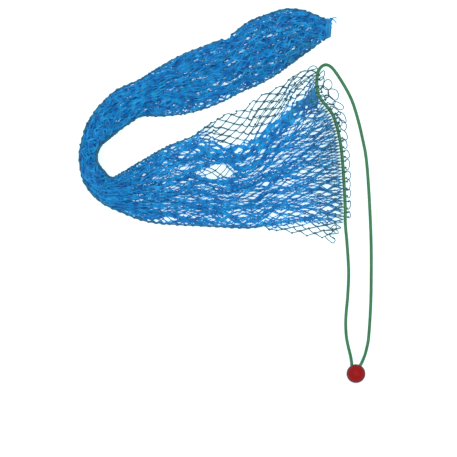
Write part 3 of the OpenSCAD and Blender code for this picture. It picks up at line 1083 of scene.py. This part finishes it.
def mouth_loop_lines():
    """Lines of the twine of each free loop, over and under the cord, and the knots that tie them, in mm."""
    run = catmull(MOUTH_POINTS, 24)
    tips = catmull(LOOP_REACH, 24)
    way = unit(np.gradient(run, axis=0) * [1, 1, 0])
    length = lengths(run)
    dice = np.random.default_rng(21)
    top_knots, low_knots = np.split(net_knots[-1], 2)
    lines, ties, outs = [], [], []
    for n in range(2 * FREE_LOOPS - 1):
        share = (n + 1 + dice.uniform(-0.25, 0.25)) / (2 * FREE_LOOPS)
        i = int(np.argmin(np.abs(length - length[-1] * share)))
        side = way[i]
        out = unit(np.array([*(tips[i] - run[i, :2]), 0]))
        reach = np.linalg.norm(tips[i] - run[i, :2])
        inner = n % 2 == 1
        if inner and reach < INNER_FROM:
            continue
        lift = INNER_LIFT if inner else 0.0
        loop, meets = free_loop(run[i], side, out, reach * (INNER_SHARE if inner else 1.0), dice, lift)
        ties += [loop[0]] if meets else [loop[0], loop[-1]]
        outs += [out] if meets else [out, out]
        legs = ((loop[0], top_knots, OVER_CORD, 1), (loop[-1], low_knots, UNDER_CORD, -1))
        for end, knots, z, lean in legs:
            offset = max(abs((end - run[i]) @ side), 2.2) * lean
            across = run[i] + side * offset
            across[2] = z
            inside = across[:2] - out[:2] * 5
            start = knots[np.argmin(np.linalg.norm(knots[:, :2] - inside, axis=1))]
            rim = across + out * 2.7
            rim[2] = 0.6 * z + 0.4 * end[2]
            lines.append(even(catmull([start, across, rim, end], 6), 1.4))
        lines.append(loop)
    lines += [even(catmull(points, 8), 1.4) for points in [HEAD_LOOP] + FOOT_LOOPS]
    lines = [above(line, FLOOR_GAP) for line in lines]
    return lines, np.array(ties), np.array(outs)


def add_mouth_loops():
    lines, ties, outs = mouth_loop_lines()
    cells = len(lines) + len(ties)
    parts = [
        tube_arrays(line[None] * MM, TWINE_R, LOOP_SIDES, cells=(n, cells)) for n, line in enumerate(lines)
    ]
    knots = knot_paths(ties * MM, outs)
    parts.append(tube_arrays(knots, 0.95 * TWINE_R, LOOP_SIDES, closed=True, cells=(len(lines), cells)))
    verts, faces, uvs = joined(parts)
    mesh = build_mesh("mouth_loops", verts, faces, uvs)
    add_values(mesh, "painted_shade", np.full(len(verts), LOOPS_SHADE))
    piece = add_piece("mouth_loops", mesh, edge_shaded_mat)
    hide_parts("mouth_edge_loops")


add_mouth_loops()

# ---- Lashing that closes the other end ----

LASH_AT = np.array([169.5, 267.3, 8.3])
LASH_ALONG = unit(np.array([10.0, -1.0, 0.0]))
LASH_ACROSS = np.cross([0, 0, 1.0], LASH_ALONG)
LASH_HALF = (14.6, 7.3)
LASH_TURNS = 5
LASH_TWINE = 0.75
LASH_PITCH = 1.5
LASH_SIDES = 8
LASH_KNOT_AT = np.array([174.5, 281.5, 8.5])
LASH_KNOT_STEPS = 48
# The lashing twine's two ends: which way each points, in degrees, and its length
LASH_ENDS = [(-38, 10), (12, 9)]
# Ends of the netting's own twine that stand out of the lashing
FRAYED = 26
# How much painted shade the lashing's twine gets
LASHING_SHADE = 0.25


def lashing_lines():
    """Turns of twine round the gathered end, the twine's two ends, and some of the netting's."""
    dice = np.random.default_rng(31)
    a = np.linspace(0, 2 * np.pi * LASH_TURNS, 40 * LASH_TURNS)
    wobble = 0.3 * np.sin(a * 0.37 + 1)
    turns = (
        LASH_AT
        + LASH_ALONG * ((a / (2 * np.pi) - LASH_TURNS / 2) * LASH_PITCH + wobble)[:, None]
        + LASH_ACROSS * (LASH_HALF[0] * np.cos(a))[:, None]
        + np.array([0, 0, 1.0]) * (LASH_HALF[1] * np.sin(a))[:, None]
    )
    lines = [turns]
    for lean, length in LASH_ENDS:
        way = np.array([math.cos(math.radians(lean)), math.sin(math.radians(lean)), 0])
        bend = np.array([-way[1], way[0], 0])
        f = np.linspace(0, 1, 9)[:, None]
        droop = np.array([0, 0, -5.5])
        lines.append(LASH_KNOT_AT + way * length * f + bend * 1.6 * np.sin(3 * f) + droop * f**2)
    for _ in range(FRAYED):
        start = LASH_AT + LASH_ALONG * 2.5 + LASH_ACROSS * dice.uniform(-12, 12)
        start = start + [0, 0, dice.uniform(-5, 5)]
        way = unit(LASH_ALONG + dice.normal(0, 0.35, 3))
        f = np.linspace(0, 1, 6)[:, None]
        lines.append(start + way * dice.uniform(1.5, 3.5) * f + dice.normal(0, 0.5, 3) * f**2)
    return [above(line, LASH_TWINE + 0.05) for line in lines]


def add_lashing():
    lines = lashing_lines()
    cells = len(lines) + 1
    parts = [
        tube_arrays(line[None] * MM, LASH_TWINE * MM, LASH_SIDES, cells=(n, cells))
        for n, line in enumerate(lines)
    ]
    a = np.arange(LASH_KNOT_STEPS) * 2 * np.pi / LASH_KNOT_STEPS
    knot = LASH_KNOT_AT + trefoil(a, 0.9) * 0.8
    parts.append(tube_arrays(knot[None] * MM, 0.8 * MM, LASH_SIDES, closed=True, cells=(len(lines), cells)))
    verts, faces, uvs = joined(parts)
    mesh = build_mesh("lashing", verts, faces, uvs)
    add_values(mesh, "painted_shade", np.full(len(verts), LASHING_SHADE))
    piece = add_piece("lashing", mesh, netting_mat)
    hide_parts("closed_end_lashing")


add_lashing()

# ---- Stop ball ----


def dress_ball():
    ball = nodes["stop_ball"]
    ball.data.materials.clear()
    ball.data.materials.append(ball_material())


dress_ball()

# ---- Floor and light ----

FLOOR_HALF = 6


def add_floor():
    corners = [(x * FLOOR_HALF, y * FLOOR_HALF, 0) for x, y in ((-1, -1), (1, -1), (1, 1), (-1, 1))]
    mesh = bpy.data.meshes.new("floor")
    mesh.from_pydata(corners, [], [(0, 1, 2, 3)])
    floor = bpy.data.objects.new("floor", mesh)
    floor.location.z = -0.3 * MM
    bpy.context.scene.collection.objects.link(floor)
    mat, _, shader = material("floor_white")
    shader.inputs["Base Color"].default_value = (0.9, 0.93, 0.95, 1)
    shader.inputs["Roughness"].default_value = 0.8
    shader.inputs["Emission Color"].default_value = (0.5, 0.88, 1.0, 1)
    shader.inputs["Emission Strength"].default_value = 0.4
    mesh.materials.append(mat)


def add_light(name, place, size, power, aim=(0, 0, 0)):
    data = bpy.data.lights.new(name, "AREA")
    data.energy = power
    data.size = size
    light = bpy.data.objects.new(name, data)
    light.location = place
    light.rotation_euler = (Vector(aim) - Vector(place)).to_track_quat("-Z", "Y").to_euler()
    bpy.context.scene.collection.objects.link(light)


def add_world():
    world = bpy.data.worlds.new("world")
    bpy.context.scene.world = world
    world.use_nodes = True
    background = world.node_tree.nodes["Background"]
    background.inputs["Color"].default_value = (0.95, 0.98, 1.0, 1)
    background.inputs["Strength"].default_value = 0.7


add_floor()
add_light("key", (0.2, 0.15, 3.7), 0.22, 60)
add_light("fill", (-0.9, 0.9, 1.8), 1.6, 6)
add_world()
bpy.context.scene.view_settings.view_transform = "Standard"
